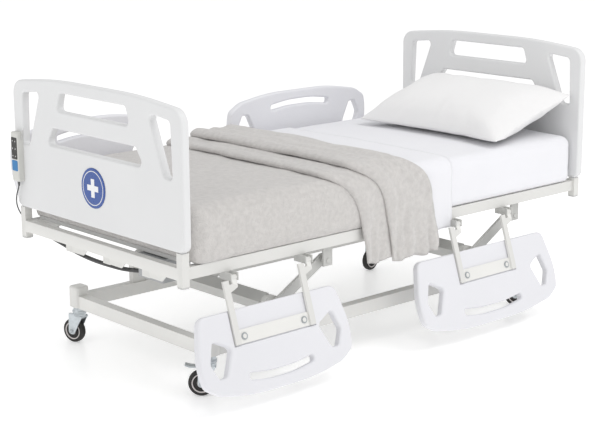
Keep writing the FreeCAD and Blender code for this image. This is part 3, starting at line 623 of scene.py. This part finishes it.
def box_points(x_range, y_range, z_range, radius, step, faces_wanted, swell):
    """A box of evenly spaced points with rounded edges: each face a grid, joined where they meet."""
    lows = [r[0] for r in (x_range, y_range, z_range)]
    highs = [r[1] for r in (x_range, y_range, z_range)]
    counts = [max(2, round((h - l) / step)) for l, h in zip(lows, highs)]
    index = {}
    points = []
    faces = []

    def spot(i, j, k):
        key = (i, j, k)
        if key not in index:
            raw = [l + (h - l) * n / c for l, h, n, c in zip(lows, highs, key, counts)]
            inner = [min(max(v, l + radius), h - radius) for v, l, h in zip(raw, lows, highs)]
            offset = Vector([a - b for a, b in zip(raw, inner)])
            if offset.length > 1e-9:
                # Points of a cube's edge, moved onto the round by their direction from the inner box.
                largest = max(abs(v) for v in offset)
                bent = Vector([math.tan(v / radius * math.pi / 4) for v in offset])
                offset = bent.normalized() * radius * min(1, largest / radius)
            index[key] = len(points)
            points.append(swell(Vector(inner) + offset))
        return index[key]

    def side(fixed, value, a, b, flip):
        for m in range(counts[a]):
            for n in range(counts[b]):
                corner = []
                for dm, dn in ((0, 0), (1, 0), (1, 1), (0, 1)):
                    key = [0, 0, 0]
                    key[fixed], key[a], key[b] = value, m + dm, n + dn
                    corner.append(spot(*key))
                faces.append(tuple(corner[::-1] if flip else corner))

    if "top" in faces_wanted:
        side(2, counts[2], 0, 1, False)
    if "bottom" in faces_wanted:
        side(2, 0, 0, 1, True)
    if "near" in faces_wanted:
        side(1, 0, 0, 2, False)
    if "far" in faces_wanted:
        side(1, counts[1], 0, 2, True)
    if "foot" in faces_wanted:
        side(0, 0, 1, 2, True)
    if "head" in faces_wanted:
        side(0, counts[0], 1, 2, False)
    return points, faces


ALL_SIDES = ("top", "bottom", "near", "far", "foot", "head")


# The bedding's sides are drawn this much too long and then stopped at skirt_floor, for a square lower edge.
SKIRT = 0.030
MATTRESS_EDGE, MATTRESS_STEP = 0.042, 0.014


def skirt_floor(y):
    """How low the bedding reaches: down to the frame at its sides, onto the deck between them."""
    return UNDER - 0.017 * smoothstep(abs(y), 0.462, 0.474)


def mattress_swell(foot_shear, head_shear, x_range):
    """Crowns the top, draws the sides in a little, and slants the ends as the foam is cut."""
    def swell(p):
        x, y, z = p
        up = max(0, (z - UNDER) / (TOP - UNDER))
        across = y / HALF
        z += up * 0.007 * (1 - across ** 2) - 0.004 * up + 0.0016 * rumple(x, y, 7, 2) * up
        sag = math.sin(math.pi * min(1, max(0, up)))
        y += math.copysign(0.004 * sag - 0.003, y) * smoothstep(abs(across), 0.8, 1.0)
        y += 0.0014 * rumple(x, z, 14, 5) * smoothstep(abs(across), 0.9, 1.0)
        x += foot_shear * up * (1 - smoothstep(x, x_range[0], x_range[0] + 0.25))
        x += head_shear * up * smoothstep(x, x_range[1] - 0.25, x_range[1])
        return at(x, y, max(z, skirt_floor(y)))
    return swell


def make_mattress(finishes):
    """The foam in its fitted sheet, in two lengths that part under the blanket at the thigh hinge."""
    spans = {
        "mattress_head": ((-0.088, HEAD_END), 0.042, 0.0, ("mattress_back", "mattress_seat")),
        "mattress_foot": ((FOOT_END, -0.113), 0.0, -0.070, ("mattress_thigh", "mattress_calf")),
    }
    for name, (x_range, foot_shear, head_shear, nodes) in spans.items():
        swell = mattress_swell(foot_shear, head_shear, x_range)
        points, faces = box_points(x_range, (-HALF, HALF), (UNDER - SKIRT, TOP), MATTRESS_EDGE, MATTRESS_STEP,
                                   ALL_SIDES, swell)
        made = piece(name, points, faces, finishes["sheet"])
        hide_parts(*nodes)
        if name == "mattress_head":
            at(BACK_FOLD[0], 0, UNDER)
            at(BACK_FOLD[1], 0, UNDER)
            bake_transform(made)
        else:
            at(KNEE_FOLD[0], 0, UNDER)
            at(KNEE_FOLD[1], 0, UNDER)
            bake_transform(made)


def across_line(side_gap, top_gap, near_hem, far_hem):
    """Where a cloth lies across the mattress: a function from the distance along it to (y, z, hanging)."""
    radius = MATTRESS_EDGE + min(side_gap, top_gap)
    wide, top = HALF + side_gap, TOP + top_gap
    runs = [top - radius - near_hem, math.pi / 2 * radius, 2 * (wide - radius), math.pi / 2 * radius,
            top - radius - far_hem]
    total = sum(runs)

    def place(distance):
        if distance < runs[0]:
            return -wide, near_hem + distance, runs[0] - distance
        distance -= runs[0]
        if distance < runs[1]:
            turn = distance / radius
            return -wide + radius * (1 - math.cos(turn)), top - radius * (1 - math.sin(turn)), 0.0
        distance -= runs[1]
        if distance < runs[2]:
            y = -wide + radius + distance
            return y, top + 0.004 * (1 - (y / wide) ** 2), 0.0
        distance -= runs[2]
        if distance < runs[3]:
            turn = distance / radius
            return wide - radius * (1 - math.sin(turn)), top - radius * (1 - math.cos(turn)), 0.0
        distance -= runs[3]
        return wide, top - radius - distance, distance

    return place, total


FOLD_DEPTH, FOLD_WAVE = 0.0125, 0.125


def hang(x, hanging, wave, phase):
    """How far a hanging side stands out at its folds."""
    free = smoothstep(hanging, 0.04, 0.30)
    turn = x * 2 * math.pi / wave
    folds = math.sin(turn + phase) + 0.45 * math.sin(turn / 0.57 + phase * 2.1)
    return free * FOLD_DEPTH * folds


# How far the blanket's cross edges slip towards the head as they turn down over the mattress's side.
SIDE_SLIP = 0.145


def folded_layer(name, finishes, foot_edge, head_edge, gaps, hems, phase, step=0.011):
    """A folded-back stretch of blanket: a lower ply, a round fold at its foot edge, and an upper ply."""
    lower, upper = gaps
    height = (upper[1] - lower[1]) / 2
    rows = []
    length = head_edge - foot_edge
    lengthwise = max(8, round(length / step))
    count = round((2 * HALF + 2 * (TOP - min(hems))) / step)
    path = [(head_edge - length * i / lengthwise, 0.0) for i in range(lengthwise + 1)]
    path += [(foot_edge - height * math.sin(a), 0.5 - 0.5 * math.cos(a))
             for a in [math.pi * i / 6 for i in range(1, 6)]]
    path += [(foot_edge + length * i / lengthwise, 1.0) for i in range(lengthwise + 1)]
    for x0, part in path:
        side_gap = lower[0] + (upper[0] - lower[0]) * part
        top_gap = lower[1] + (upper[1] - lower[1]) * part
        place, total = across_line(side_gap, top_gap, *hems)
        row = []
        for j in range(count + 1):
            y, z, hanging = place(total * j / count)
            drop = max(0, TOP + top_gap - z)
            x = x0 + SIDE_SLIP * (1 - math.exp(-drop / 0.058)) + 0.11 * drop
            soft = 0.0045 * rumple(x, y + z, 5.5, 3 + phase) + 0.002 * rumple(x, y - z, 16, 8 + phase)
            edge = 0.006 * rumple(0.2, y + z * 2, 6, 11 + phase)
            outward = hang(x, hanging, FOLD_WAVE, phase)
            on_side = smoothstep(abs(y), HALF - 0.03, HALF)
            roll = part * 0.007 * math.exp(-((x0 - foot_edge - 0.026) / 0.030) ** 2)
            roll += part * 0.0055 * math.sin((x0 - foot_edge) * 74) * (0.6 + rumple(x0, y, 3, 15))
            y += math.copysign(outward + (soft * 0.7 + roll) * on_side, y)
            z += (soft + roll) * (1 - on_side)
            if hanging > 0.20:
                z += 0.006 * math.sin(x * 2 * math.pi / FOLD_WAVE + phase) * smoothstep(hanging, 0.2, 0.33)
            row.append(at(x + edge * (0.3 + part), y, z))
        rows.append(row)
    points = [p for row in rows for p in row]
    made = piece(name, points, grid_faces(len(rows), count + 1), finishes["blanket"])
    thick = made.modifiers.new("ply", "SOLIDIFY")
    thick.thickness = 0.005
    thick.offset = 0
    settle(made)
    at(THIGH_FOLD[0], 0, UNDER)
    at(THIGH_FOLD[1], 0, UNDER)
    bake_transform(made)
    return made


def make_blanket(finishes):
    """The blanket over the foot half, tucked in at the foot, and its two folded-back layers."""
    corner_x = FOOT_END + 0.038
    gap, edge, step = 0.006, 0.046, 0.0105
    x_range = (FOOT_END - 0.001, -0.175)

    def swell(p):
        x, y, z = p
        up = max(0, (z - UNDER) / (TOP - UNDER))
        across = y / HALF
        z += 0.004 * max(0, 1 - across ** 2) * smoothstep(up, 0.7, 1.0)
        z += (0.0048 * rumple(x, y, 5.5, 4) + 0.0024 * rumple(x, y, 17, 9)) * smoothstep(up, 0.8, 1.0)
        side = smoothstep(abs(across), 0.93, 1.0)
        flap = 0.0050 * smoothstep(x, corner_x, corner_x + 0.006)
        flap *= 1 - smoothstep(x, corner_x + 0.05, corner_x + 0.3)
        flap *= 1 - smoothstep(up, 0.66, 0.80)
        ripple = 0.0030 * rumple(x, z * 0.4, 9, 6) + 0.0012 * rumple(x, z, 26, 12)
        crease_x = corner_x + 0.055 + 0.08 * (1 - up)
        crease = 0.0035 * math.exp(-((x - crease_x) / 0.012) ** 2) * (1 - smoothstep(up, 0.7, 0.95))
        y += math.copysign((flap + ripple - crease) * side, y)
        return at(x, y, max(z, skirt_floor(y) - 0.002))

    points, faces = box_points(x_range, (-HALF - gap, HALF + gap), (UNDER - SKIRT, TOP + gap), edge, step,
                               ("top", "near", "far", "foot"), swell)
    body = piece("blanket_body", points, faces, finishes["blanket"])
    thick = body.modifiers.new("ply", "SOLIDIFY")
    thick.thickness = 0.003
    thick.offset = 1
    settle(body)
    at(KNEE_FOLD[0], 0, UNDER)
    at(KNEE_FOLD[1], 0, UNDER)
    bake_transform(body)
    folded_layer("blanket_fold_low", finishes, foot_edge=-0.385, head_edge=-0.02,
                 gaps=((0.009, 0.013), (0.016, 0.026)), hems=(0.372, 0.37), phase=0.4)
    folded_layer("blanket_fold_high", finishes, foot_edge=-0.262, head_edge=-0.033,
                 gaps=((0.020, 0.032), (0.027, 0.050)), hems=(0.362, 0.37), phase=1.1)


def make_top_sheet(finishes):
    """The top sheet's turned-down end, hanging over both sides of the mattress."""
    step = 0.011
    start, end = -0.06, 0.262
    place, total = across_line(0.0045, 0.0045, 0.432, 0.47)
    across = round(total / step)
    rows = round((end - start) / step)
    points = []
    for i in range(rows + 1):
        for j in range(across + 1):
            x = start + (end - start) * i / rows
            y, z, hanging = place(total * j / across)
            x += 0.006 * rumple(0.5, y * 1.5 + z, 4, 7) * (i / rows)
            free = smoothstep(hanging, 0.02, 0.2)
            soft = 0.0016 * rumple(x, y + z, 9, 13)
            outward = free * (0.0035 + 0.0035 * math.sin(x * 48 + 0.5))
            on_side = smoothstep(abs(y), HALF - 0.03, HALF)
            y += math.copysign(outward + abs(soft) * on_side, y)
            z += abs(soft) * (1 - on_side)
            points.append(at(x, y, z))
    made = piece("top_sheet", points, grid_faces(rows + 1, across + 1), finishes["sheet"])
    thick = made.modifiers.new("ply", "SOLIDIFY")
    thick.thickness = 0.0016
    thick.offset = 1
    settle(made)
    at(BACK_FOLD[0], 0, UNDER)
    at(BACK_FOLD[1], 0, UNDER)
    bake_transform(made)


PILLOW_LONG, PILLOW_WIDE = 0.80, 0.50
PILLOW_TILT = math.radians(17)
FULLEST = 0.095
BLOWN_SHARE = 0.28


def plump(point):
    """Where a point of the flat case lies on an evenly filled pillow."""
    u, v = point.x / (PILLOW_WIDE / 2), point.y / (PILLOW_LONG / 2)
    bulge = (max(0, 1 - abs(u) ** 2.2) * max(0, 1 - abs(v) ** 3.0)) ** 0.62
    drawn = 1 - 0.035 * (1 - abs(u * v))
    return Vector((point.x * drawn, point.y * drawn, point.z + math.copysign(0.080 * bulge, point.z)))


def make_pillow(finishes):
    """A flat two-sided case blown up by the cloth solver, then laid on the mattress against the headboard."""
    step = 0.0125
    across, along = round(PILLOW_LONG / step), round(PILLOW_WIDE / step)
    start = 0.016

    def thickness(u, v):
        rim = min(1 - abs(u), 1 - abs(v))
        return start * (0.15 + 0.85 * smoothstep(rim, 0, 0.25))

    def layer(way):
        rows = []
        for i in range(along + 1):
            for j in range(across + 1):
                u, v = 2 * i / along - 1, 2 * j / across - 1
                rows.append(Vector((u * PILLOW_WIDE / 2, v * PILLOW_LONG / 2, way * thickness(u, v))))
        return rows

    top, bottom = layer(1), layer(-1)
    faces = grid_faces(along + 1, across + 1)
    offset = len(top)
    under = [tuple(offset + k for k in face[::-1]) for face in faces]
    rim = [j for j in range(across + 1)] + [i * (across + 1) + across for i in range(1, along + 1)]
    rim += [along * (across + 1) + j for j in range(across - 1, -1, -1)]
    rim += [i * (across + 1) for i in range(along - 1, 0, -1)]
    walls = [(a, b, offset + b, offset + a) for a, b in zip(rim, rim[1:] + rim[:1])]
    made = piece("pillow_soft", top + bottom, [f[::-1] for f in faces] + [f[::-1] for f in under] + walls,
                 finishes["pillow"])
    mesh = made.data
    tidy = bmesh.new()
    tidy.from_mesh(mesh)
    bmesh.ops.recalc_face_normals(tidy, faces=tidy.faces)
    tidy.to_mesh(mesh)
    tidy.free()
    rest = [v.co.copy() for v in mesh.vertices]
    cloth = made.modifiers.new("air", "CLOTH")
    cloth.settings.use_pressure = True
    cloth.settings.uniform_pressure_force = 3.2
    cloth.settings.quality = 6
    cloth.settings.mass = 0.25
    cloth.settings.tension_stiffness = 22
    cloth.settings.compression_stiffness = 12
    cloth.settings.bending_stiffness = 0.12
    cloth.settings.effector_weights.gravity = 0
    scene = bpy.context.scene
    for tick in range(1, 31):
        scene.frame_set(tick)
    settle(made)
    mesh = made.data
    for vertex, was in zip(mesh.vertices, rest):
        move = vertex.co - was
        if move.length > 0.001:
            blown = was + move.normalized() * FULLEST * math.tanh(move.length / FULLEST)
            vertex.co = plump(was).lerp(blown, BLOWN_SHARE)
    scene.frame_set(1)
    # Laid down: tilted against the headboard, flat where it rests, its far end sinking a little.
    front_x, back_x = 0.545, HEAD_END - 0.012
    centre_x, centre_y = (front_x + back_x) / 2, -0.085
    turn = Matrix.Rotation(-PILLOW_TILT, 3, "Y")
    for vertex in mesh.vertices:
        p = vertex.co.copy()
        end_part = smoothstep(abs(p.y), 0.22, 0.38)
        p.z += 0.0022 * rumple(p.x, p.y, 11, 21) + 0.0045 * end_part * rumple(p.x, p.y * 0.3, 26, 25)
        p = turn @ p
        x, y, z = p.x + centre_x, p.y + centre_y, p.z + TOP + 0.098
        floor = TOP + 0.004 + 0.0035 * (1 - (y / HALF) ** 2)
        if z < floor + 0.03:
            z = floor + 0.03 * math.exp((z - floor - 0.03) / 0.03)
        if x > HEAD_END + 0.002:
            x = HEAD_END + 0.002
        vertex.co = at(x, y, z)
    fine = made.modifiers.new("fine", "SUBSURF")
    fine.levels = 1
    fine.render_levels = 1
    settle(made)
    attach(made, "backrest")
    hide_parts("pillow")


# ---- everything -----------------------------------------------------------------------------------------

make_camera()
finishes = make_finishes()
make_cord(finishes)
dress_frame(finishes)
make_studio()
make_wheels(finishes)
make_badge(finishes)
make_pendant(finishes)
make_rail_bolts(finishes)
make_caps(finishes)
make_mattress(finishes)
make_blanket(finishes)
make_top_sheet(finishes)
make_pillow(finishes)
